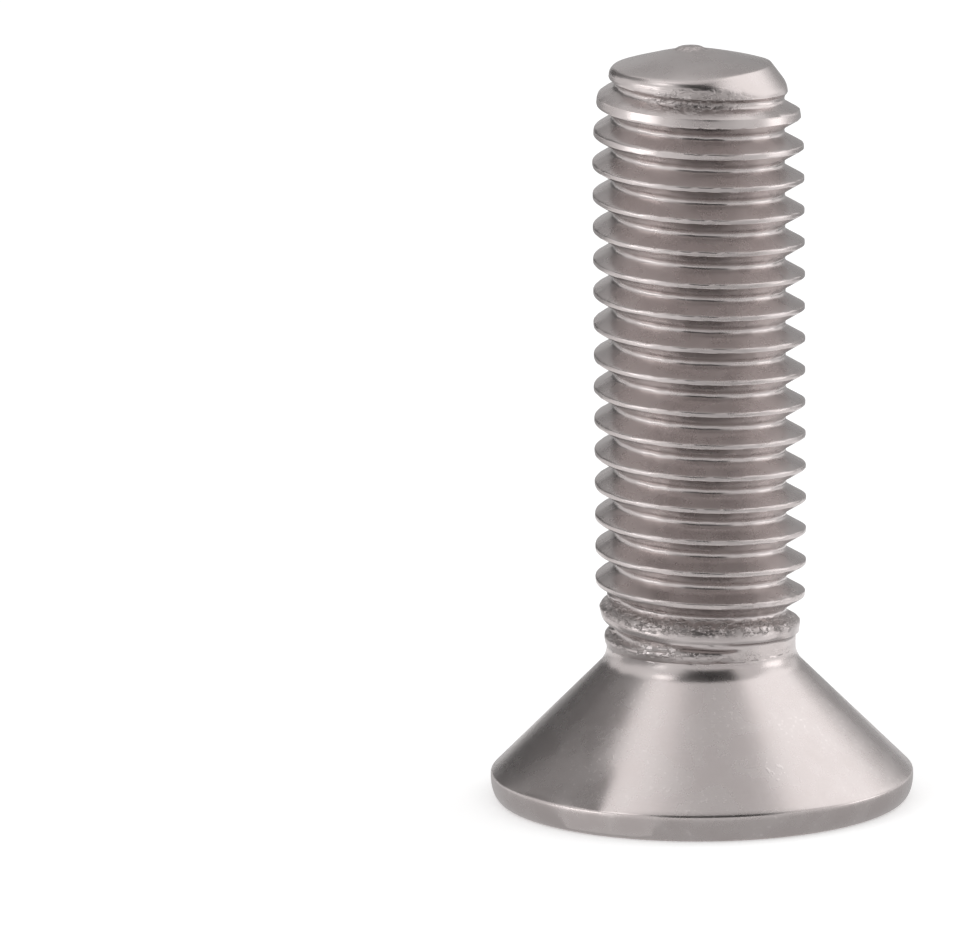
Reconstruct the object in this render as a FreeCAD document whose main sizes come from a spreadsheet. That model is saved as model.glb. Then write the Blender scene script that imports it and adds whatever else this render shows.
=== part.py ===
import FreeCAD, Part
import Sketcher
import math
import os

# Countersunk screw with a hexagon socket, one cold formed and thread rolled piece of stainless steel.
# The frame is +Z up along the screw's axis, and the origin is the middle of the head's flat face.
# The screw stands on that face with its point up. All sizes are in millimetres and degrees.

os.makedirs("parts", exist_ok=True)
doc = FreeCAD.newDocument("CountersunkScrew")

# Sizes that drive the model.
SIZES = [
    ("overall_length", 35.0, "from the head's flat face to the top of the domed point"),
    ("head_radius", 9.8, "widest radius of the head, at its rim"),
    ("rim_height", 1.25, "height where the rim ends and the cone begins"),
    ("rim_bevel_height", 0.85, "height of the bevel between the flat face and the rim"),
    ("rim_bevel_width", 0.45, "width of that bevel"),
    ("cone_angle", 90.0, "included angle of the countersunk cone"),
    ("neck_step", 0.54, "how much smaller than the crests the plain neck is"),
    ("neck_flare", 0.5, "length of neck, and of cone, that the flare between them takes up"),
    ("crest_radius", 4.92, "outer radius of the thread"),
    ("crest_start", 3.6, "height above the cone where the crests reach full radius"),
    ("crest_rise", 3.0, "height over which the crests grow from the neck"),
    ("pitch", 1.5, "axial distance from one crest to the next"),
    ("thread_depth", 0.97, "depth of the thread groove below the crests"),
    ("flank_angle", 60.0, "angle between the two flanks of the groove"),
    ("groove_start", 1.83, "height above the cone of the last full groove, at the back"),
    ("run_out_turns", 0.6, "turns over which the groove fades out below its full depth"),
    ("run_out_rise", 0.55, "how far the groove climbs out over those turns"),
    ("last_crest_step", 0.32, "how much smaller than the others the crest at the point is"),
    ("last_crest_fall", 2.85, "height over which the crests shrink towards the point"),
    ("point_step", 0.92, "how much smaller than the crests the domed point is at its foot"),
    ("point_chamfer", 45.0, "angle of the chamfer under the point, from the axis"),
    ("dome_height", 1.1, "rise of the dome over the point's edge"),
    ("point_height", 1.35, "from the chamfer's upper end to the top of the dome"),
    ("socket_flats", 6.0, "hexagon socket, across flats"),
    ("socket_depth", 4.2, "straight depth of the hexagon's walls"),
    ("socket_mouth_radius", 3.85, "radius of the conical mouth at the flat face"),
    ("socket_mouth_angle", 90.0, "included angle of the conical mouth"),
    ("socket_floor_angle", 120.0, "included angle of the conical floor"),
]
LEFT_HAND_THREAD = True

sheet = doc.addObject("Spreadsheet::Sheet", "sizes")
for row, (alias, value, note) in enumerate(SIZES, start=1):
    sheet.set(f"A{row}", alias)
    sheet.set(f"B{row}", str(value))
    sheet.set(f"C{row}", note)
    sheet.setAlias(f"B{row}", alias)
doc.recompute()

# Radii and heights that follow from the sizes.
NECK_RADIUS = "(sizes.crest_radius - sizes.neck_step)"
POINT_RADIUS = "(sizes.crest_radius - sizes.point_step)"
CONE_TOP = f"sizes.rim_height + (sizes.head_radius - {NECK_RADIUS}) / tan(sizes.cone_angle * 1 deg / 2)"
DOME_FOOT = "sizes.overall_length - sizes.dome_height"
CHAMFER_TOP = "sizes.overall_length - sizes.point_height"
CHAMFER_FOOT = (
    f"{CHAMFER_TOP} - (sizes.point_step - sizes.last_crest_step) / tan(sizes.point_chamfer * 1 deg)"
)
FLARE_RADIUS = f"{NECK_RADIUS} + sizes.neck_flare * sin(sizes.cone_angle * 1 deg / 2)"
FLARE_FOOT = f"{CONE_TOP} - sizes.neck_flare * cos(sizes.cone_angle * 1 deg / 2)"
CREST_FOOT = f"{CONE_TOP} + sizes.crest_start"
NECK_TOP = f"{CREST_FOOT} - sizes.crest_rise"
GROOVE_HEIGHT = f"{CONE_TOP} + sizes.groove_start"


def number(owner, expression):
    """The plain value of an expression over the sizes."""
    value = owner.evalExpression(expression)
    return float(getattr(value, "Value", value))


def sketch_on(body, name, role):
    """A sketch on one of the body's own origin planes."""
    sketch = body.newObject("Sketcher::SketchObject", name)
    plane = [f for f in body.Origin.OriginFeatures if f.Role == role][0]
    sketch.AttachmentSupport = [(plane, "")]
    sketch.MapMode = "FlatFace"
    return sketch


def bind_point(sketch, geometry, end, label, across, up):
    """Ties one end of a line to the sketch's origin by two bound distances."""
    for kind, axis, expression in (("DistanceX", -2, across), ("DistanceY", -1, up)):
        if expression == "0":
            sketch.addConstraint(Sketcher.Constraint("PointOnObject", geometry, end, axis))
            continue
        size = number(sketch, expression)
        index = sketch.addConstraint(Sketcher.Constraint(kind, -1, 1, geometry, end, size))
        sketch.renameConstraint(index, f"{label}_{kind[-1]}")
        sketch.setExpression(f"Constraints.{label}_{kind[-1]}", expression)


def outline(sketch, corners, closed=True):
    """Straight lines through named corners, each corner bound to the sizes."""
    points = [FreeCAD.Vector(number(sketch, a), number(sketch, b), 0) for _, a, b in corners]
    pairs = list(zip(points, points[1:] + points[:1]))
    if not closed:
        pairs = pairs[:-1]
    first = sketch.GeometryCount
    for a, b in pairs:
        sketch.addGeometry(Part.LineSegment(a, b), False)
    for i in range(len(pairs) - 1):
        sketch.addConstraint(Sketcher.Constraint("Coincident", first + i, 2, first + i + 1, 1))
    if closed:
        sketch.addConstraint(Sketcher.Constraint("Coincident", first + len(pairs) - 1, 2, first, 1))
    for i, (label, across, up) in enumerate(corners):
        last_open = not closed and i == len(pairs)
        bind_point(sketch, first + i - last_open, 2 if last_open else 1, label, across, up)
    return first, len(pairs)


body = doc.addObject("PartDesign::Body", "blank_with_socket")

# Blank: flat face, bevelled rim, countersunk cone, flared neck, shank, chamfer and domed point.
# The shank grows slowly out of the neck, and shrinks towards the point, as the rolled crests there are lower.
blank_sketch = sketch_on(body, "blank_profile", "XZ_Plane")
first, count = outline(
    blank_sketch,
    [
        ("axis_top", "0", "sizes.overall_length"),
        ("axis_foot", "0", "0"),
        ("face_edge", "sizes.head_radius - sizes.rim_bevel_width", "0"),
        ("rim_foot", "sizes.head_radius", "sizes.rim_bevel_height"),
        ("rim_top", "sizes.head_radius", "sizes.rim_height"),
        ("flare_foot", FLARE_RADIUS, FLARE_FOOT),
        ("flare_top", NECK_RADIUS, f"{CONE_TOP} + sizes.neck_flare"),
        ("neck_top", NECK_RADIUS, NECK_TOP),
        ("crest_foot", "sizes.crest_radius", CREST_FOOT),
        ("crest_end", "sizes.crest_radius", f"{CHAMFER_FOOT} - sizes.last_crest_fall"),
        ("chamfer_foot", "sizes.crest_radius - sizes.last_crest_step", CHAMFER_FOOT),
        ("chamfer_top", POINT_RADIUS, CHAMFER_TOP),
        ("dome_foot", POINT_RADIUS, DOME_FOOT),
    ],
    closed=False,
)
point_radius = number(blank_sketch, POINT_RADIUS)
dome_height = number(blank_sketch, "sizes.dome_height")
dome_radius = (point_radius**2 + dome_height**2) / (2 * dome_height)
dome_top = number(blank_sketch, "sizes.overall_length")
dome_middle = FreeCAD.Vector(
    point_radius / 2,
    dome_top - dome_radius + (dome_radius**2 - point_radius**2 / 4) ** 0.5,
    0,
)
dome_arc = Part.Arc(
    FreeCAD.Vector(point_radius, dome_top - dome_height, 0),
    dome_middle,
    FreeCAD.Vector(0, dome_top, 0),
)
dome = blank_sketch.addGeometry(dome_arc, False)
blank_sketch.addConstraint(Sketcher.Constraint("Coincident", dome, 1, first + count - 1, 2))
blank_sketch.addConstraint(Sketcher.Constraint("Coincident", dome, 2, first, 1))
blank_sketch.addConstraint(Sketcher.Constraint("PointOnObject", dome, 3, -2))
blank = body.newObject("PartDesign::Revolution", "blank")
blank.Profile = blank_sketch
blank.ReferenceAxis = (blank_sketch, ["V_Axis"])
blank.Angle = 360
doc.recompute()

# Hexagon socket, punched into the flat face.
CORNER = "sizes.socket_flats / (2 * cos(30 deg))"
socket_sketch = sketch_on(body, "socket_profile", "XY_Plane")
outline(
    socket_sketch,
    [
        ("right", CORNER, "0"),
        ("back_right", f"{CORNER} / 2", "sizes.socket_flats / 2"),
        ("back_left", f"-{CORNER} / 2", "sizes.socket_flats / 2"),
        ("left", f"-{CORNER}", "0"),
        ("front_left", f"-{CORNER} / 2", "-sizes.socket_flats / 2"),
        ("front_right", f"{CORNER} / 2", "-sizes.socket_flats / 2"),
    ],
)
socket = body.newObject("PartDesign::Pocket", "hexagon_socket")
socket.Profile = socket_sketch
socket.Reversed = True
socket.setExpression("Length", "sizes.socket_depth")

# Conical mouth and conical floor of the socket, turned round the axis.
MOUTH_DEPTH = "sizes.socket_mouth_radius / tan(sizes.socket_mouth_angle * 1 deg / 2)"
FLOOR_DEPTH = "sizes.socket_flats / 2 / tan(sizes.socket_floor_angle * 1 deg / 2)"
mouth_sketch = sketch_on(body, "mouth_profile", "XZ_Plane")
outline(
    mouth_sketch,
    [
        ("foot", "0", "0"),
        ("edge", "sizes.socket_mouth_radius", "0"),
        ("tip", "0", MOUTH_DEPTH),
    ],
)
mouth = body.newObject("PartDesign::Groove", "socket_mouth")
mouth.Profile = mouth_sketch
mouth.ReferenceAxis = (mouth_sketch, ["V_Axis"])
mouth.Angle = 360
floor_sketch = sketch_on(body, "floor_profile", "XZ_Plane")
outline(
    floor_sketch,
    [
        ("foot", "0", "sizes.socket_depth"),
        ("edge", "sizes.socket_flats / 2", "sizes.socket_depth"),
        ("tip", "0", f"sizes.socket_depth + {FLOOR_DEPTH}"),
    ],
)
socket_floor = body.newObject("PartDesign::Groove", "socket_floor")
socket_floor.Profile = floor_sketch
socket_floor.ReferenceAxis = (floor_sketch, ["V_Axis"])
socket_floor.Angle = 360
doc.recompute()

# Thread: the V groove between the crests, as a solid that winds up the shank and is cut from it.
# Its section is a triangle in the plane of the axis, and every side is ruled between two helices.
# It starts shallow on the neck at the front, is full at the back and leaves through the point's chamfer.
# Its mouth stands clear of the shank, and stays narrower than the pitch so that no turn meets the next.
PITCH = number(sheet, "sizes.pitch")
ROOT_RADIUS = number(sheet, "sizes.crest_radius - sizes.thread_depth")
FLANK_SLOPE = number(sheet, "tan(sizes.flank_angle * 1 deg / 2)")
CREST_RADIUS = number(sheet, "sizes.crest_radius")
MOUTH_RADIUS = max(ROOT_RADIUS + 0.48 * PITCH / FLANK_SLOPE, CREST_RADIUS + 0.05 * PITCH)
HALF_MOUTH = (MOUTH_RADIUS - ROOT_RADIUS) * FLANK_SLOPE
RUN_OUT_TURNS = number(sheet, "sizes.run_out_turns")
RUN_OUT_RISE = number(sheet, "sizes.run_out_rise")
GROOVE_FOOT = number(sheet, GROOVE_HEIGHT)
GROOVE_TURNS = math.ceil((number(sheet, "sizes.overall_length") - GROOVE_FOOT) / PITCH)
POINTS_PER_TURN = 12
SECTION = ((ROOT_RADIUS, 0), (MOUTH_RADIUS, HALF_MOUTH), (MOUTH_RADIUS, -HALF_MOUTH))


def groove_corners(turn):
    """The corners of the groove's section after this many turns up from its last full one at the back."""
    rise = RUN_OUT_RISE * (max(0.0, -turn) / RUN_OUT_TURNS) ** 3
    hand = -1 if LEFT_HAND_THREAD else 1
    angle = hand * 2 * math.pi * turn + math.pi / 2
    along = FreeCAD.Vector(math.cos(angle), math.sin(angle), 0)
    foot = FreeCAD.Vector(0, 0, GROOVE_FOOT + PITCH * turn)
    return [foot + along * (radius + rise) + FreeCAD.Vector(0, 0, up) for radius, up in SECTION]


def groove_span(start, end):
    """The ruled sides of the groove between two turn counts."""
    steps = max(4, round((end - start) * POINTS_PER_TURN))
    stations = [groove_corners(start + (end - start) * i / steps) for i in range(steps + 1)]
    rails = []
    for points in zip(*stations):
        rail = Part.BSplineCurve()
        rail.interpolate(list(points))
        rails.append(rail.toShape())
    return [Part.makeRuledSurface(a, b) for a, b in zip(rails, rails[1:] + rails[:1])]


def groove_end(turn):
    """The flat end of the groove at this turn count."""
    corners = groove_corners(turn)
    return Part.Face(Part.makePolygon(corners + corners[:1]))


sides = groove_span(-RUN_OUT_TURNS, 0)
for turn in range(GROOVE_TURNS):
    sides += groove_span(turn, turn + 1)
skin = Part.Compound(sides + [groove_end(-RUN_OUT_TURNS), groove_end(GROOVE_TURNS)])
skin.sewShape(1e-5)
groove_solid = Part.makeSolid(skin.Shells[0])
if groove_solid.Volume < 0:
    groove_solid.reverse()
groove = doc.addObject("Part::Feature", "thread_groove")
groove.Shape = groove_solid

screw = doc.addObject("Part::Cut", "countersunk_screw")
screw.Label = "countersunk_screw"
screw.Base = body
screw.Tool = groove
doc.recompute()

# Every object must have built, and the groove must have been cut, before the part is written.
for item in doc.Objects:
    faults = [word for word in item.State if word in ("Invalid", "Error")]
    if faults:
        raise RuntimeError(f"{item.Name} did not build: {faults}")
shape = screw.Shape
if shape.isNull() or not shape.isValid() or len(shape.Solids) != 1:
    raise RuntimeError("the screw is not one valid solid")
if shape.Volume > body.Shape.Volume * 0.98:
    raise RuntimeError("the thread groove was not cut")
shape.exportStep("parts/countersunk_screw.step")
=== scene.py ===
import math

import bpy
import numpy as np
from mathutils import Matrix, Vector


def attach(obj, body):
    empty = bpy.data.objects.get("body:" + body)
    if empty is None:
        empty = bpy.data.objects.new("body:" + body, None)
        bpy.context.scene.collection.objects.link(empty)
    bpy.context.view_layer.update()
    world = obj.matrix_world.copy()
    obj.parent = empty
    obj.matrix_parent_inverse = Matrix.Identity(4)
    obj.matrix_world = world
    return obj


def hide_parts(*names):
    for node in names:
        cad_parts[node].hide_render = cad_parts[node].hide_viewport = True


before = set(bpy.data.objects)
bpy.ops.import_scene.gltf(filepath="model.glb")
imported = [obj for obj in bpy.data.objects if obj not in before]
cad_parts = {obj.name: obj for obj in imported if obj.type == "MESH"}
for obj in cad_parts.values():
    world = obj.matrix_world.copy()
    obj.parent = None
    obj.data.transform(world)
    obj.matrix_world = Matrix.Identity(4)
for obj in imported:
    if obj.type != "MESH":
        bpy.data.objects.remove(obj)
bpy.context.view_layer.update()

# The screw.
# One piece of stainless steel: the head is cold formed from wire, the hexagon is punched into its flat face,
# and the thread is rolled on the shank. It stands on the flat face with its domed point up. Sizes in mm.
MM = 0.001
COLUMNS = 144
LENGTH = 35.0
NECK_RADIUS = 4.38
PITCH = 1.5
FLANK_LEAN = math.radians(30)
FRONT = math.pi * 1.5

angles = np.arange(COLUMNS) * 2 * math.pi / COLUMNS


def waver(angle, height, size, seed):
    """A smooth unevenness of the surface: a sum of seven sines over the angle and the height."""
    draw = np.random.default_rng(seed)
    total = np.zeros(np.broadcast(angle, height).shape)
    for turns, rise, shift in zip(draw.integers(2, 19, 7), draw.uniform(-4, 4, 7), draw.uniform(0, 6.28, 7)):
        total = total + np.sin(turns * angle + rise * height + shift)
    return size * total / 7 ** 0.5


def softer_min(a, b, width):
    """The smaller of two radii, with the corner between them rounded off by the squared overlap over four
    widths."""
    overlap = np.clip(width - np.abs(a - b), 0, None)
    return np.minimum(a, b) - overlap ** 2 / (4 * width)


def smooth_step(value):
    """0 below 0, 1 above 1, and the cubic 3v2 - 2v3 between."""
    value = np.clip(value, 0, 1)
    return value * value * (3 - 2 * value)


def between(value, start, end, fade_in, fade_out):
    """1 between two limits and 0 outside them: a smooth step up after the first over the width of one fade,
    times a smooth step down before the last over the width of the other."""
    return smooth_step((value - start) / fade_in) * smooth_step((end - value) / fade_out)


# The slanting cut on the right of the point: its least radius and the height of that, its slope, how far it
# opens to its sides, the turn of its middle to the front, and the width of its rounded edge.
CUT_RADIUS = 3.63
CUT_HEIGHT = 34.02
CUT_SLOPE = 0.75
CUT_OPENING = 0.85
CUT_TURN = 0.35
CUT_EDGE = 0.12


def cut_limit(angle, height):
    """Radius that the slanting cut leaves: it grows by the slope for each mm down, and by the opening times
    one less the cosine of the angle from the cut's middle."""
    return CUT_RADIUS + CUT_SLOPE * (CUT_HEIGHT - height) + CUT_OPENING * (1 - np.cos(angle + CUT_TURN))


# The crests: rolled up from the shank, low over the neck and at the point, where the 45 degree chamfer leans
# a little. A step along the lowest groove shows where the rolling tool ended.
CREST_HEIGHTS = [7.19, 7.36, 8.0, 8.9, 9.6, 10.3, 30.3, 31.4, 32.1, 32.8, 33.05, 33.15, 33.3, 33.7, 34.0]
CREST_RADII = [4.38, 4.455, 4.54, 4.67, 4.81, 4.88, 4.88, 4.81, 4.73, 4.65, 4.56, 4.40, 4.14, 4.10, 4.12]
CREST_WAVER = 0.010
CHAMFER_LEAN = 0.045
CHAMFER_MIDDLE = 4.3
CHAMFER_FOOT = 32.0
GROOVE_FOOT = 7.75
STEP_ABOVE_GROOVE = 0.37
STEP_CEILING = 9


def crest_outline(angle, height):
    """Radius over the crests by height, higher on the left of the point, with the step where the rolling tool
    ended, which goes on along the helix after the groove has run out, from the front over the right."""
    lean = CHAMFER_LEAN * CHAMFER_MIDDLE * np.cos(angle) * np.clip((height - CHAMFER_FOOT) / 1.2, 0, 1)
    crest = np.interp(height + lean, CREST_HEIGHTS, CREST_RADII)
    from_front = (angle + math.pi / 2 + math.pi) % (2 * math.pi) - math.pi
    step_height = GROOVE_FOOT - PITCH * from_front / (2 * math.pi) + STEP_ABOVE_GROOVE
    stepped = between(from_front, 0.15, math.pi * 0.95, 0.3, 0.5)
    above = smooth_step((height - step_height) / 0.12 + 0.5)
    crest = NECK_RADIUS + (crest - NECK_RADIUS) * (1 - stepped * (1 - above) * (height < STEP_CEILING))
    return softer_min(crest + waver(angle, height, CREST_WAVER, 3), cut_limit(angle, height), CUT_EDGE)


# The groove: its round root, the last full depth in turns up from the front, and how far and in how many
# turns it climbs out. Its root is a little deeper at the point.
ROOT_ROUND = 0.22
ROOT_HEIGHTS = [33.0, 33.7]
ROOT_RADII = [3.97, 3.80]
ROOT_WAVER = 0.009
LAST_FULL_DEPTH = 0.5
CLIMB_OUT = 0.55
CLIMB_TURNS = 0.52


def groove_wall(distance, turn, root):
    """Radius of one groove at an axial distance from its middle: two 60 degree flanks over a round root, that
    climb out of the metal as the cube of the turns past the last full depth at the back."""
    climb = CLIMB_OUT * (np.clip(LAST_FULL_DEPTH - turn, 0, None) / CLIMB_TURNS) ** 3
    tip = root - ROOT_ROUND + climb
    flank = tip + np.abs(distance) / math.tan(FLANK_LEAN)
    bowl = tip + 2 * ROOT_ROUND - np.sqrt(np.clip(ROOT_ROUND ** 2 - distance ** 2, 0, None))
    return np.where(np.abs(distance) < ROOT_ROUND * math.cos(FLANK_LEAN), bowl, flank)


def ridge_radius(angle, height):
    """Radius of the ridges alone: the smaller of the two nearest grooves, which fall by one pitch for each
    turn to the right and have a slightly wavy root. Round the front, the last ridge over the neck was torn to
    a shelf: with the depth below the groove above it, its radius is 4.02 + 1.1 depth - 0.46 depth squared."""
    turns = (height - GROOVE_FOOT) / PITCH
    start = -(angle + math.pi / 2) / (2 * math.pi)
    below = np.floor(turns - start) + start
    root = np.interp(height, ROOT_HEIGHTS, ROOT_RADII) + waver(2 * angle, 1.7 * height, ROOT_WAVER, 5)
    lower = groove_wall(height - (GROOVE_FOOT + PITCH * below), below, root)
    upper = groove_wall(height - (GROOVE_FOOT + PITCH * (below + 1)), below + 1, root)
    torn = between(below, -0.2, 0.27, 0.08, 0.08)
    depth = GROOVE_FOOT + PITCH * (below + 1) - height
    shelf = 4.02 + 1.1 * depth - 0.46 * depth ** 2
    return softer_min(softer_min(lower, upper, 0.4), shelf + 1 - torn, 0.06)


# The rounding of the crests by height, and the burrs that fill the groove low down, two at the left and one
# left of the front: angle, height and radius of each, and its half width and half height.
ROUNDED_HEIGHTS = [8.6, 9.6, 32.2, 33.0]
ROUNDED_WIDTHS = [0.20, 0.04, 0.03, 0.03]
FRONT_BURR_TURN = 0.52
BURRS = [
    (math.pi, 9.58, 4.35, 0.22, 0.13),
    (math.pi, 8.0, 4.29, 0.22, 0.13),
    (FRONT - FRONT_BURR_TURN, 7.82, 4.50, 0.17, 0.20),
]


def thread_radius(angle, height):
    """Radius of the threaded shank: the smaller of the ridges and of the outline over the crests, with the
    burrs as low domes. The front burr ends in a thin crevice along the groove, and a shallow crease runs on
    the step: both are bell curves over the height above the groove's middle."""
    softness = np.interp(height, ROUNDED_HEIGHTS, ROUNDED_WIDTHS)
    radius = softer_min(ridge_radius(angle, height), crest_outline(angle, height), softness)
    for burr_angle, burr_height, burr_radius, width, tall in BURRS:
        spread = ((height - burr_height) / tall) ** 2 + ((angle - burr_angle) / width) ** 2
        radius = np.maximum(radius, burr_radius - 0.12 * spread + waver(2 * angle, 6 * height, 0.02, 8))
    from_front = angle - FRONT
    above_groove = height - GROOVE_FOOT + PITCH * from_front / (2 * math.pi)
    for cut_depth, middle, width, start, end, fade in (
        (0.13, 0.05, 0.055, -0.32, 0.42, 0.1),
        (0.04, STEP_ABOVE_GROOVE, 0.07, -0.9, 1.1, 0.3),
    ):
        stretch = between(from_front, start, end, fade, fade)
        radius = radius - cut_depth * stretch * np.exp(-((above_groove - middle) / width) ** 2)
    return radius


# The point: a dome of 12 mm, rounded over at its edge, and a low scar on it where the wire was cut, a little
# left of and behind the axis, as a small flat stub on a wide mound.
POINT_RADIUS = 4.1
DOME_RADIUS = 12.0
DOME_LEAN = 0.014
SHOULDER = 0.40
SCAR_X, SCAR_Y = -0.35, 0.45
MOUND_HEIGHT, MOUND_WIDTH = 0.15, 1.5
STUB_HEIGHT, STUB_HALF_X, STUB_HALF_Y, STUB_EDGE = 0.13, 0.62, 0.55, 0.12

dome_centre = LENGTH - DOME_RADIUS
shoulder_across = POINT_RADIUS - SHOULDER
shoulder_height = dome_centre + math.sqrt((DOME_RADIUS - SHOULDER) ** 2 - shoulder_across ** 2)
cap_end = math.asin(shoulder_across / (DOME_RADIUS - SHOULDER))
cap = np.linspace(0, cap_end, 34)
bend = np.linspace(cap_end, math.pi / 2, 12)[1:]
point_r = np.concatenate([DOME_RADIUS * np.sin(cap), shoulder_across + SHOULDER * np.sin(bend)])
point_z = np.concatenate([dome_centre + DOME_RADIUS * np.cos(cap), shoulder_height + SHOULDER * np.cos(bend)])
point_r = np.repeat(point_r[:, None], COLUMNS, axis=1)
point_z = np.repeat(point_z[:, None], COLUMNS, axis=1)
scar_x = point_r * np.cos(angles) - SCAR_X
scar_y = point_r * np.sin(angles) - SCAR_Y
mound = MOUND_HEIGHT * np.exp(-(scar_x ** 2 + scar_y ** 2) / MOUND_WIDTH ** 2)
from_stub = (scar_x ** 2 / STUB_HALF_X ** 2 + scar_y ** 2 / STUB_HALF_Y ** 2) ** 0.5
stub = STUB_HEIGHT / (1 + np.exp((from_stub - 1) / STUB_EDGE))
point_z = point_z + (mound + stub) * np.clip((3.4 - point_r) / 1.2, 0, 1)
above_edge = np.clip((point_z - point_z.min()) / 0.4, 0, 1)
point_z = point_z - DOME_LEAN * point_r * np.cos(angles) * above_edge
point_r = softer_min(point_r, cut_limit(angles[None, :], point_z), CUT_EDGE)
point_r = softer_min(point_r, ridge_radius(angles[None, :], point_z), 0.10)

# Rows of the thread, closest in the root and on the crest, each one pitch lower after a turn to the right,
# and cut off level at both ends.
THREAD_LOW = 7.195
THREAD_HIGH = 33.96
half = np.array([0.0, 0.05, 0.10, 0.15, 0.20, 0.29, 0.36, 0.43, 0.53, 0.60, 0.63, 0.66, 0.70]) / PITCH
phase = np.sort(np.concatenate([half, 1 - half[:0:-1], [0.5]]))
turn_count = math.ceil((THREAD_HIGH - THREAD_LOW) / PITCH) + 2
places = (np.arange(turn_count)[:, None] + phase[None, :]).ravel()
groove_at_right = GROOVE_FOOT - PITCH * 0.25
thread_top = groove_at_right + PITCH * (math.ceil((THREAD_HIGH - groove_at_right) / PITCH) + 1)
thread_z = thread_top - PITCH * (places[:, None] + angles[None, :] / (2 * math.pi))
thread_z = np.clip(thread_z, THREAD_LOW, THREAD_HIGH)
thread_r = thread_radius(angles[None, :], thread_z)

# Rings of the head: round flare of the neck, 90 degree cone, rim and the long round edge to the flat face.
HEAD_RADIUS = 9.8
FACE_RADIUS = 9.3
RIM_FOOT = 1.0
RIM_TOP = 1.25
RIM_ROUND = 0.06
CONE_TOP = RIM_TOP + HEAD_RADIUS - NECK_RADIUS
FLARE = 1.25


def rings(radii, heights):
    """Level rings repeated round the axis."""
    return np.repeat(radii[:, None], COLUMNS, axis=1), np.repeat(heights[:, None], COLUMNS, axis=1)


sweep = np.linspace(math.pi, math.pi * 1.25, 14)
flare_r = NECK_RADIUS + FLARE + FLARE * np.cos(sweep)
flare_z = CONE_TOP + FLARE * math.tan(math.pi / 8) + FLARE * np.sin(sweep)
edge = np.linspace(0, math.pi / 2, 14)
cone_steps = np.linspace(0, 1, 26)[1:-1]
head_r = np.concatenate([
    flare_r,
    flare_r[-1] + (HEAD_RADIUS - flare_r[-1]) * cone_steps,
    [HEAD_RADIUS - RIM_ROUND, HEAD_RADIUS - RIM_ROUND / 4, HEAD_RADIUS],
    FACE_RADIUS + (HEAD_RADIUS - FACE_RADIUS) * np.cos(edge),
])
head_z = np.concatenate([
    flare_z,
    flare_z[-1] + (RIM_TOP - flare_z[-1]) * cone_steps,
    [RIM_TOP + RIM_ROUND, RIM_TOP, RIM_TOP - RIM_ROUND],
    RIM_FOOT * (1 - np.sin(edge)),
])

# Rings of the flat face, the conical mouth, the hexagon's walls and the conical floor.
SOCKET_FLATS = 6.0
SOCKET_DEPTH = 4.2
MOUTH_RADIUS = 3.85
FLOOR_RADIUS = 2.98
FLOOR_DEPTH = 1.72
WALL_RINGS = 8
hexagon = SOCKET_FLATS / 2 / np.cos((angles % (math.pi / 3)) - math.pi / 6)
face_r = FACE_RADIUS + (MOUTH_RADIUS - FACE_RADIUS) * np.linspace(0, 1, 10)[1:]
wall_steps = np.linspace(0, 1, WALL_RINGS)[:, None]
floor_steps = np.linspace(0, 1, 12)[:, None]
mouth_z = (MOUTH_RADIUS - hexagon)[None, :]
socket_r = np.concatenate([
    np.repeat(hexagon[None, :], WALL_RINGS, axis=0),
    np.minimum(hexagon, FLOOR_RADIUS)[None, :] * (1 - floor_steps),
])
socket_z = np.concatenate([
    mouth_z + (SOCKET_DEPTH - mouth_z) * wall_steps,
    np.repeat(SOCKET_DEPTH + FLOOR_DEPTH * floor_steps, COLUMNS, axis=1),
])

ROUNDINGS_PER_MM = 1e4


def woven(radius, height, first_row, end_row):
    """Triangles between the rows of a table of radii and heights. From the first to the end row of the helix
    they join, across the seam, the row one pitch further on. Points that fall together are made one, and
    empty triangles are dropped."""
    rows = radius.shape[0]
    places_in_space = [radius * np.cos(angles), radius * np.sin(angles), height]
    points = np.stack(places_in_space, axis=-1).reshape(-1, 3)
    row, column = np.meshgrid(np.arange(rows - 1), np.arange(COLUMNS), indexing="ij")
    on_helix = (column == COLUMNS - 1) & (row >= first_row) & (row < end_row)
    step = np.where(on_helix, phase.size, 0)
    limit = np.where(on_helix, end_row, rows - 1)
    right = (column + 1) % COLUMNS
    a = row * COLUMNS + column
    b = (row + 1) * COLUMNS + column
    c = np.minimum(row + 1 + step, limit) * COLUMNS + right
    d = np.minimum(row + step, limit) * COLUMNS + right
    triangles = np.stack([a, b, c, a, c, d], axis=-1).reshape(-1, 3)
    keys = np.round(points * ROUNDINGS_PER_MM).astype(np.int64)
    _, keep, joined = np.unique(keys, axis=0, return_index=True, return_inverse=True)
    triangles = joined.reshape(-1)[triangles]
    full = (triangles != np.roll(triangles, 1, axis=1)).all(axis=1)
    return points[keep], triangles[full]


tables = [
    (point_r, point_z),
    (thread_r, thread_z),
    rings(head_r, head_z),
    rings(face_r, np.zeros(face_r.size)),
    (socket_r, socket_z),
]
points, triangles = woven(
    np.concatenate([radii for radii, _ in tables]),
    np.concatenate([heights for _, heights in tables]),
    len(point_r),
    len(point_r) + len(thread_r) - 1,
)
corners = points[triangles]
volume = np.einsum("ij,ij->i", corners[:, 0], np.cross(corners[:, 1], corners[:, 2])).sum() / 6
print("screw volume", round(volume, 1), "triangles", len(triangles))

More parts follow.
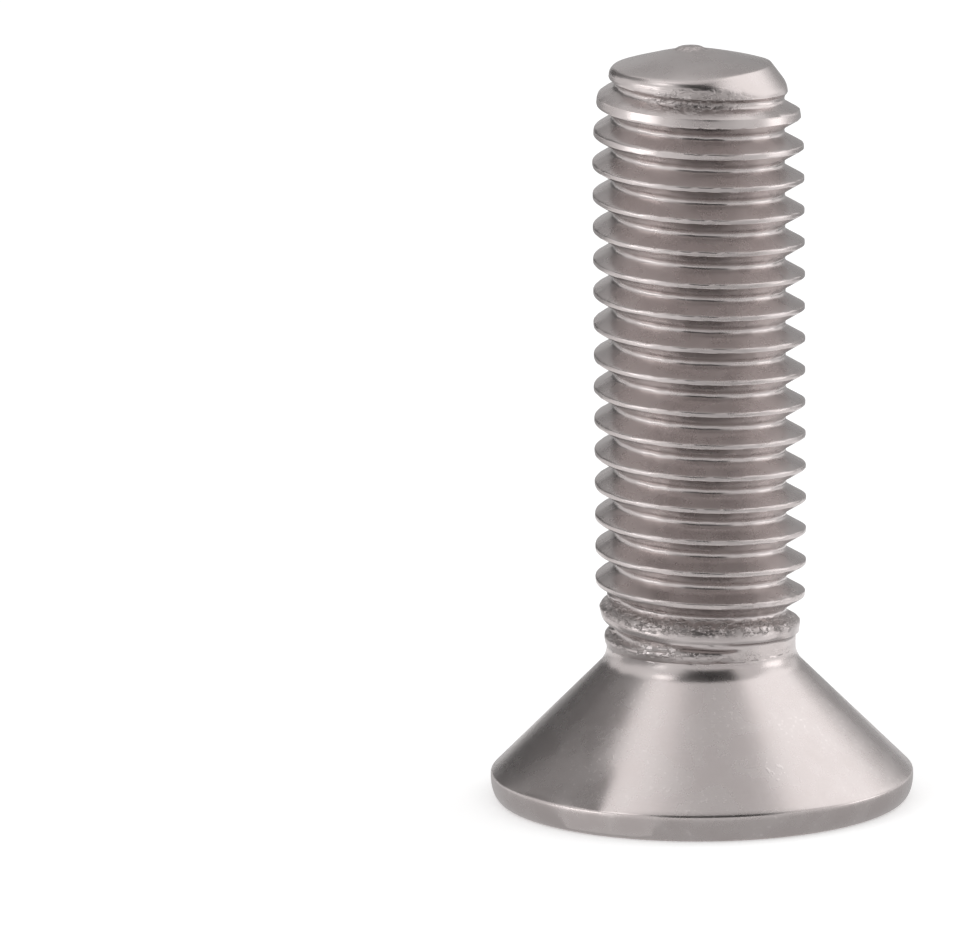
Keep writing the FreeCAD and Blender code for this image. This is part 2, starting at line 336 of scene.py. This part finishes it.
screw_mesh = bpy.data.meshes.new("screw_surface")
screw_mesh.vertices.add(len(points))
screw_mesh.vertices.foreach_set("co", (points * MM).astype(np.float32).ravel())
screw_mesh.loops.add(triangles.size)
screw_mesh.loops.foreach_set("vertex_index", triangles.astype(np.int32).ravel())
screw_mesh.polygons.add(len(triangles))
screw_mesh.polygons.foreach_set("loop_start", np.arange(0, triangles.size, 3, dtype=np.int32))
screw_mesh.update(calc_edges=True)
screw_mesh.validate()
screw = bpy.data.objects.new("screw_body", screw_mesh)
bpy.context.collection.objects.link(screw)
screw_mesh.shade_smooth()

SHARP_EDGE = math.radians(38)


def near(distance, reach):
    """1 at the middle of a zone, falling in a straight line to 0 at its reach."""
    return np.clip(1 - np.abs(distance) / reach, 0, 1)


# Where the metal was worked hardest: flakes on the flanks of the last turns over the neck and the first at
# the point, on the cut scar and on the front burr, whose lighter colour is a painted highlight, and the ground
# flat face.
point_x, point_y, point_height = points.T
round_the_axis = np.arctan2(point_y, point_x)
from_burr = (round_the_axis + math.pi / 2 + FRONT_BURR_TURN) / 0.3
end_burr = np.clip(1.3 - from_burr ** 2 - ((point_height - 7.8) / 0.3) ** 2, 0, 1)
from_scar = np.hypot((point_x - 0.1) / 1.3, (point_y - 0.35) / 0.8)
scar = np.clip(1.4 - from_scar, 0, 1) * (point_height > 34)
turn_phase = ((point_height - GROOVE_FOOT) / PITCH + (round_the_axis + math.pi / 2) / (2 * math.pi)) % 1
low_turns = near(point_height - 8.7, 1.5) * near(turn_phase - 0.74, 0.28)
high_turns = near(point_height - 33.45, 0.6) * near(round_the_axis + 1.65, 0.75)
outside_socket = np.hypot(point_x, point_y) > MOUTH_RADIUS
zone_values = {
    "flaked": np.clip(2 * low_turns + 1.3 * high_turns + end_burr + 0.5 * scar, 0, 1),
    "burr_painted_highlight": end_burr,
    "ground_face": (point_height < 0.02).astype(float),
    "head": np.clip((CONE_TOP - 0.2 - point_height) / 0.4, 0, 1) * outside_socket,
}
for label, values in zone_values.items():
    zone = screw_mesh.attributes.new(label, "FLOAT", "POINT")
    zone.data.foreach_set("value", values.astype(np.float32))
screw_mesh.set_sharp_from_angle(angle=SHARP_EDGE)


def new_group(name, inputs, outputs):
    """An empty shader group with named inputs, given as name, kind and value, and named outputs."""
    group = bpy.data.node_groups.new(name, "ShaderNodeTree")
    for label, kind, value in inputs:
        socket = group.interface.new_socket(label, in_out="INPUT", socket_type=kind)
        if value is not None:
            socket.default_value = value
    for label, kind in outputs:
        group.interface.new_socket(label, in_out="OUTPUT", socket_type=kind)
    return group, group.nodes.new("NodeGroupInput"), group.nodes.new("NodeGroupOutput")


def feed(tree, slot, item):
    """Gives an input a plain number or colour, or links it to another node's socket."""
    if isinstance(item, (int, float, tuple)):
        slot.default_value = item
    else:
        tree.links.new(item, slot)


def noise(tree, vector, scale, detail, roughness):
    """The value of a noise texture on a vector."""
    node = tree.nodes.new("ShaderNodeTexNoise")
    for label, item in (("Vector", vector), ("Scale", scale), ("Detail", detail), ("Roughness", roughness)):
        feed(tree, node.inputs[label], item)
    return node.outputs["Fac"]


def ramp(tree, value, low, high, to_low=0.0, to_high=1.0):
    """A smooth step of a value between two limits."""
    node = tree.nodes.new("ShaderNodeMapRange")
    node.interpolation_type = "SMOOTHSTEP"
    for label, item in (
        ("Value", value), ("From Min", low), ("From Max", high), ("To Min", to_low), ("To Max", to_high),
    ):
        feed(tree, node.inputs[label], item)
    return node.outputs["Result"]


def arithmetic(tree, operation, *items):
    """A math node on sockets or plain numbers."""
    node = tree.nodes.new("ShaderNodeMath")
    node.operation = operation
    for slot, item in zip(node.inputs, items):
        feed(tree, slot, item)
    return node.outputs[0]


def mixed(tree, amount, first, second):
    """A colour between two colours, by an amount from 0 to 1."""
    node = tree.nodes.new("ShaderNodeMix")
    node.data_type = "RGBA"
    for label, item in (("Factor", amount), ("A", first), ("B", second)):
        feed(tree, node.inputs[label], item)
    return node.outputs["Result"]


def bump(tree, height, strength, distance, normal=None):
    """A bump of a height on the surface, or on another bump's normal."""
    node = tree.nodes.new("ShaderNodeBump")
    feed(tree, node.inputs["Height"], height)
    feed(tree, node.inputs["Strength"], strength)
    feed(tree, node.inputs["Distance"], distance)
    if normal is not None:
        feed(tree, node.inputs["Normal"], normal)
    return node.outputs["Normal"]


# Worked metal: marks that run round the axis, a fine grain, and patches where flecks were pressed bright.
worked, worked_in, worked_out = new_group(
    "worked_metal",
    [("Position", "NodeSocketVector", None), ("Marks Scale", "NodeSocketFloat", 6000.0)],
    [("Height", "NodeSocketFloat"), ("Tone", "NodeSocketFloat"), ("Flecks", "NodeSocketFloat")],
)
position = worked_in.outputs["Position"]
split = worked.nodes.new("ShaderNodeSeparateXYZ")
feed(worked, split.inputs[0], position)
x, y, z = split.outputs
across = arithmetic(worked, "SQRT", arithmetic(
    worked, "ADD", arithmetic(worked, "MULTIPLY", x, x), arithmetic(worked, "MULTIPLY", y, y),
))
round_vector = worked.nodes.new("ShaderNodeCombineXYZ")
for slot, item in zip(round_vector.inputs, (arithmetic(worked, "MULTIPLY", x, 0.06), across, z)):
    feed(worked, slot, item)
marks = noise(worked, round_vector.outputs[0], worked_in.outputs["Marks Scale"], 4.0, 0.6)
grain = noise(worked, position, 15000.0, 3.0, 0.6)
clouds = noise(worked, position, 520.0, 5.0, 0.6)
flecks = ramp(worked, noise(worked, position, 5200.0, 2.0, 0.5), 0.56, 0.70)
flecks = arithmetic(worked, "MULTIPLY", flecks, ramp(worked, clouds, 0.46, 0.62))
height = arithmetic(worked, "MULTIPLY_ADD", marks, 0.55, arithmetic(worked, "MULTIPLY", grain, 0.45))
for label, item in (("Height", height), ("Tone", clouds), ("Flecks", flecks)):
    feed(worked, worked_out.inputs[label], item)

# Rolled flakes: thin scales of metal, torn along the thread and pressed down again, with painted glints as
# random lighter spots on them.
flaked, flaked_in, flaked_out = new_group(
    "rolled_flakes",
    [("Position", "NodeSocketVector", None), ("Amount", "NodeSocketFloat", 0.0)],
    [("Height", "NodeSocketFloat"), ("Bright", "NodeSocketFloat")],
)
squash = flaked.nodes.new("ShaderNodeMapping")
squash.inputs["Scale"].default_value = (1.0, 1.0, 1.6)
feed(flaked, squash.inputs["Vector"], flaked_in.outputs["Position"])
scales = ramp(flaked, noise(flaked, squash.outputs[0], 2300.0, 4.0, 0.65), 0.46, 0.58)
glint = ramp(flaked, noise(flaked, squash.outputs[0], 3800.0, 2.0, 0.5), 0.55, 0.68)
for label, item in (("Height", scales), ("Bright", glint)):
    feed(flaked, flaked_out.inputs[label], arithmetic(flaked, "MULTIPLY", item, flaked_in.outputs["Amount"]))

# The finish: warm grey steel, clouded between two tones, duller where it is flaked, and brighter where flecks
# were pressed, with painted glints on the flakes and a painted highlight on the front burr. The flat face is
# ground, which leaves it brighter and rougher.
STEEL_DARKER = (0.478, 0.432, 0.423, 1)
STEEL_LIGHTER = (0.522, 0.478, 0.470, 1)
FLAKE_DULL = (0.30, 0.27, 0.262, 1)
# This lighter steel also gives the painted highlight on the front burr and the painted glints on the flakes.
BRIGHT_AND_PAINTED_HIGHLIGHT = (0.72, 0.665, 0.655, 1)
GRAIN_DEPTH = 0.00002
FLAKE_DEPTH = 0.00006
steel = bpy.data.materials.new("stainless_steel")
steel.use_nodes = True
tree = steel.node_tree
shader = tree.nodes["Principled BSDF"]
shader.inputs["Metallic"].default_value = 1.0
place_node = tree.nodes.new("ShaderNodeTexCoord")
finish = tree.nodes.new("ShaderNodeGroup")
finish.node_tree = worked
scaly = tree.nodes.new("ShaderNodeGroup")
scaly.node_tree = flaked
zones = {}
for label in zone_values:
    zone_node = tree.nodes.new("ShaderNodeAttribute")
    zone_node.attribute_name = label
    zones[label] = zone_node.outputs["Fac"]
feed(tree, finish.inputs["Position"], place_node.outputs["Object"])
feed(tree, scaly.inputs["Position"], place_node.outputs["Object"])
feed(tree, scaly.inputs["Amount"], zones["flaked"])
flecks = arithmetic(tree, "MULTIPLY", finish.outputs["Flecks"], zones["head"])
bright = arithmetic(tree, "MULTIPLY", flecks, 0.35)
# Painted glint: random spots on the flakes are lifted towards the lighter steel.
bright = arithmetic(tree, "MULTIPLY_ADD", scaly.outputs["Bright"], 0.7, bright)
bright = arithmetic(tree, "MULTIPLY_ADD", zones["ground_face"], 0.5, bright)
# Painted highlight: the front burr's base colour is lifted towards the lighter steel.
bright = arithmetic(tree, "MULTIPLY_ADD", zones["burr_painted_highlight"], 0.8, bright)
colour = mixed(tree, ramp(tree, finish.outputs["Tone"], 0.3, 0.7), STEEL_DARKER, STEEL_LIGHTER)
colour = mixed(tree, arithmetic(tree, "MULTIPLY", zones["flaked"], 0.5), colour, FLAKE_DULL)
feed(tree, shader.inputs["Base Color"], mixed(tree, bright, colour, BRIGHT_AND_PAINTED_HIGHLIGHT))
rough = ramp(tree, finish.outputs["Tone"], 0.3, 0.7, 0.25, 0.30)
rough = arithmetic(tree, "MULTIPLY_ADD", zones["ground_face"], 0.14, rough)
rough = arithmetic(tree, "MULTIPLY_ADD", zones["flaked"], 0.08, rough)
feed(tree, shader.inputs["Roughness"], rough)
fine_height = arithmetic(tree, "MULTIPLY_ADD", flecks, 0.7, finish.outputs["Height"])
fine_normal = bump(tree, fine_height, 0.25, GRAIN_DEPTH)
feed(tree, shader.inputs["Normal"], bump(tree, scaly.outputs["Height"], 1.0, FLAKE_DEPTH, fine_normal))
screw_mesh.materials.append(steel)
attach(screw, "root")
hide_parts("countersunk_screw")

# The floor: a plain white table top of dull paper, on which the screw stands and leaves a soft shadow.
# What the camera and the metal see of it is lifted to white, and from below it is clear.
FLOOR_GLOW = 0.32
floor_mesh = bpy.data.meshes.new("floor")
floor_mesh.from_pydata([(-2, -1.2, 0), (2, -1.2, 0), (2, 6, 0), (-2, 6, 0)], [], [(0, 1, 2, 3)])
floor = bpy.data.objects.new("floor", floor_mesh)
bpy.context.collection.objects.link(floor)
paper = bpy.data.materials.new("white_table")
paper.use_nodes = True
tree = paper.node_tree
paper_shader = tree.nodes["Principled BSDF"]
paper_shader.inputs["Base Color"].default_value = (0.9, 0.9, 0.9, 1)
paper_shader.inputs["Roughness"].default_value = 1.0
paper_shader.inputs["Specular IOR Level"].default_value = 0.0


def seen_ray(tree):
    """1 on rays of the camera, of gloss and through glass, and 0 on the rays that light other things."""
    ray = tree.nodes.new("ShaderNodeLightPath")
    seen = arithmetic(tree, "MAXIMUM", ray.outputs["Is Camera Ray"], ray.outputs["Is Glossy Ray"])
    return arithmetic(tree, "MAXIMUM", seen, ray.outputs["Is Transmission Ray"])


glow = tree.nodes.new("ShaderNodeEmission")
feed(tree, glow.inputs["Strength"], arithmetic(tree, "MULTIPLY", seen_ray(tree), FLOOR_GLOW))
both = tree.nodes.new("ShaderNodeAddShader")
feed(tree, both.inputs[0], paper_shader.outputs[0])
feed(tree, both.inputs[1], glow.outputs[0])
from_below = tree.nodes.new("ShaderNodeNewGeometry")
clear = tree.nodes.new("ShaderNodeBsdfTransparent")
one_sided = tree.nodes.new("ShaderNodeMixShader")
feed(tree, one_sided.inputs[0], from_below.outputs["Backfacing"])
feed(tree, one_sided.inputs[1], both.outputs[0])
feed(tree, one_sided.inputs[2], clear.outputs[0])
feed(tree, tree.nodes["Material Output"].inputs["Surface"], one_sided.outputs[0])
floor_mesh.materials.append(paper)

# Light: a white surround, five soft lamps to the sides, and cards that only the metal reflects. The cards
# are grey, but for the bright one that lights the right of the neck, and stand or lie round the screw.
LIT_HEIGHT = 0.012
world = bpy.data.worlds.new("studio")
bpy.context.scene.world = world
world.use_nodes = True
background = world.node_tree.nodes["Background"]
background.inputs["Color"].default_value = (1, 1, 1, 1)
surround = arithmetic(world.node_tree, "MULTIPLY_ADD", seen_ray(world.node_tree), 0.25, 0.75)
feed(world.node_tree, background.inputs["Strength"], surround)


def around(side, elevation, distance):
    """The point at this distance from the middle of the screw, at an angle to the right of the back and up."""
    side, elevation = math.radians(side), math.radians(elevation)
    level = distance * math.cos(elevation)
    rise = distance * math.sin(elevation)
    return Vector((level * math.sin(side), level * math.cos(side), LIT_HEIGHT + rise))


def soft_lamp(name, side, elevation, distance, width, height, glow):
    """A rectangular area lamp that faces the screw; its glow is its brightness beside a white of 1."""
    data = bpy.data.lights.new(name, "AREA")
    data.shape = "RECTANGLE"
    data.size = width
    data.size_y = height
    data.energy = glow * math.pi * width * height
    lamp = bpy.data.objects.new(name, data)
    lamp.location = around(side, elevation, distance)
    lamp.rotation_euler = (Vector((0, 0, LIT_HEIGHT)) - lamp.location).to_track_quat("-Z", "Y").to_euler()
    bpy.context.collection.objects.link(lamp)


def upright(side, elevation, distance, width, height):
    """The corners of a card that faces the screw."""
    middle = around(side, elevation, distance)
    turn = (Vector((0, 0, LIT_HEIGHT)) - middle).to_track_quat("Z", "Y")
    corners = [(-width, -height), (width, -height), (width, height), (-width, height)]
    return [middle + turn @ Vector((x / 2, y / 2, 0)) for x, y in corners]


def grey_card(name, corners, grey):
    """A flat card of one even grey, where 1 is white, seen by the metal alone."""
    mesh = bpy.data.meshes.new(name)
    mesh.from_pydata(corners, [], [tuple(range(len(corners)))])
    card = bpy.data.objects.new(name, mesh)
    bpy.context.collection.objects.link(card)
    paint = bpy.data.materials.new(name)
    paint.use_nodes = True
    paint.node_tree.nodes.remove(paint.node_tree.nodes["Principled BSDF"])
    even = paint.node_tree.nodes.new("ShaderNodeEmission")
    even.inputs["Color"].default_value = (grey, grey, grey, 1)
    paint.node_tree.links.new(even.outputs[0], paint.node_tree.nodes["Material Output"].inputs["Surface"])
    mesh.materials.append(paint)
    card.visible_camera = False
    card.visible_diffuse = False
    card.visible_shadow = False


# Each lamp's side, elevation, distance, width, height and glow.
for name, *lamp_sizes in (
    ("right_lamp", 70, 42, 0.30, 0.24, 0.26, 0.70),
    ("low_right_lamp", 84, 2, 0.30, 0.16, 0.12, 1.5),
    ("left_lamp", -98, 66, 0.30, 0.12, 0.14, 0.6),
    ("low_left_lamp", -112, -1, 0.30, 0.20, 0.09, 2.6),
    ("high_left_lamp", -125, 41, 0.30, 0.09, 0.09, 1.6),
):
    soft_lamp(name, *lamp_sizes)

# Each upright card's grey, side, elevation, distance, width and height.
for name, grey, *card_sizes in (
    ("card_top", 0.89, 180, 84, 0.34, 0.30, 0.18),
    ("card_back", 0.54, 6, 22, 0.34, 0.37, 0.36),
    ("card_right_low", 0.43, 18, 14, 0.31, 0.14, 0.14),
    ("card_left_near", 0.63, -12, 15, 0.31, 0.07, 0.14),
    ("card_left_low", 0.13, -31, 14, 0.30, 0.13, 0.13),
    ("card_left_middle", 0.20, -46, 28, 0.29, 0.14, 0.13),
    ("card_left_high", 0.30, -66, 42, 0.28, 0.14, 0.12),
    ("card_front", 0.04, 172, 38, 0.36, 0.42, 0.38),
):
    grey_card(name, upright(*card_sizes), grey)

grey_card("card_beside", [
    (-0.0056, -0.0089, 0.0019), (-0.0134, 0.0015, 0.0019),
    (-0.0134, 0.0015, 0.0077), (-0.0070, -0.0070, 0.0077),
], 0.38)

# Each lying card's grey, its level over the floor and the plan of its corners.
for name, grey, level, plan in (
    ("card_table", 0.60, 0.0004, [(-0.03, -0.30), (0.20, -0.30), (0.20, -0.038), (-0.03, -0.038)]),
    ("card_behind", 0.42, 0.0003, [(-0.25, 0.06), (0.25, 0.06), (0.25, 0.60), (-0.25, 0.60)]),
    ("card_neck", 1.4, 0.0003, [(0.022, -0.016), (0.040, -0.016), (0.040, 0.026), (0.022, 0.026)]),
    ("card_rim_bright", 0.76, 0.0002, [
        (-0.022, -0.0072), (-0.0064, -0.0072), (-0.0025, -0.0094), (-0.006, -0.021), (-0.022, -0.021),
    ]),
    # Painted shadow: this grey sheet round the foot of the head darkens the floor that the rim reflects, where
    # the head's own shadow lies.
    ("card_rim", 0.61, 0.0001, [
        (-0.022, -0.021), (0.021, -0.021), (0.021, 0.02), (0.0045, 0.02),
        (0.0045, -0.0045), (-0.0045, -0.0045), (-0.0045, 0.02), (-0.022, 0.02),
    ]),
):
    grey_card(name, [(x, y, level) for x, y in plan], grey)

# The camera: far off, looking 12 degrees down, with the screw in the right half of the picture. Its place
# follows from where the middle of the head's flat face lies as the camera sees it.
PICTURE_WIDTH = 957
FOCAL_PIXELS = 14000
SENSOR_WIDTH = 36.0
tilt, roll = math.radians(11.83), math.radians(-0.52)
turned = np.array([[math.cos(roll), -math.sin(roll), 0], [math.sin(roll), math.cos(roll), 0], [0, 0, 1]])
axis_in_camera = turned @ np.array([0, -math.cos(tilt), -math.sin(tilt)])
across_in_camera = turned @ np.array([1.0, 0, 0])
depth_in_camera = np.cross(axis_in_camera, across_in_camera)
to_camera = np.stack([across_in_camera, depth_in_camera, axis_in_camera], axis=1)
foot_in_camera = np.array([10.377, 15.068, 649.97]) * MM
camera_place = -to_camera.T @ foot_in_camera
camera_turn = to_camera.T @ np.diag([1.0, -1.0, -1.0])
camera_data = bpy.data.cameras.new("camera")
camera_data.sensor_width = SENSOR_WIDTH
camera_data.lens = FOCAL_PIXELS * SENSOR_WIDTH / PICTURE_WIDTH
camera_data.clip_start = 0.05
camera_data.clip_end = 20
camera = bpy.data.objects.new("camera", camera_data)
bpy.context.collection.objects.link(camera)
camera.matrix_world = Matrix([[*camera_turn[i], camera_place[i]] for i in range(3)] + [[0, 0, 0, 1]])
bpy.context.scene.camera = camera
bpy.context.scene.view_settings.view_transform = "Standard"
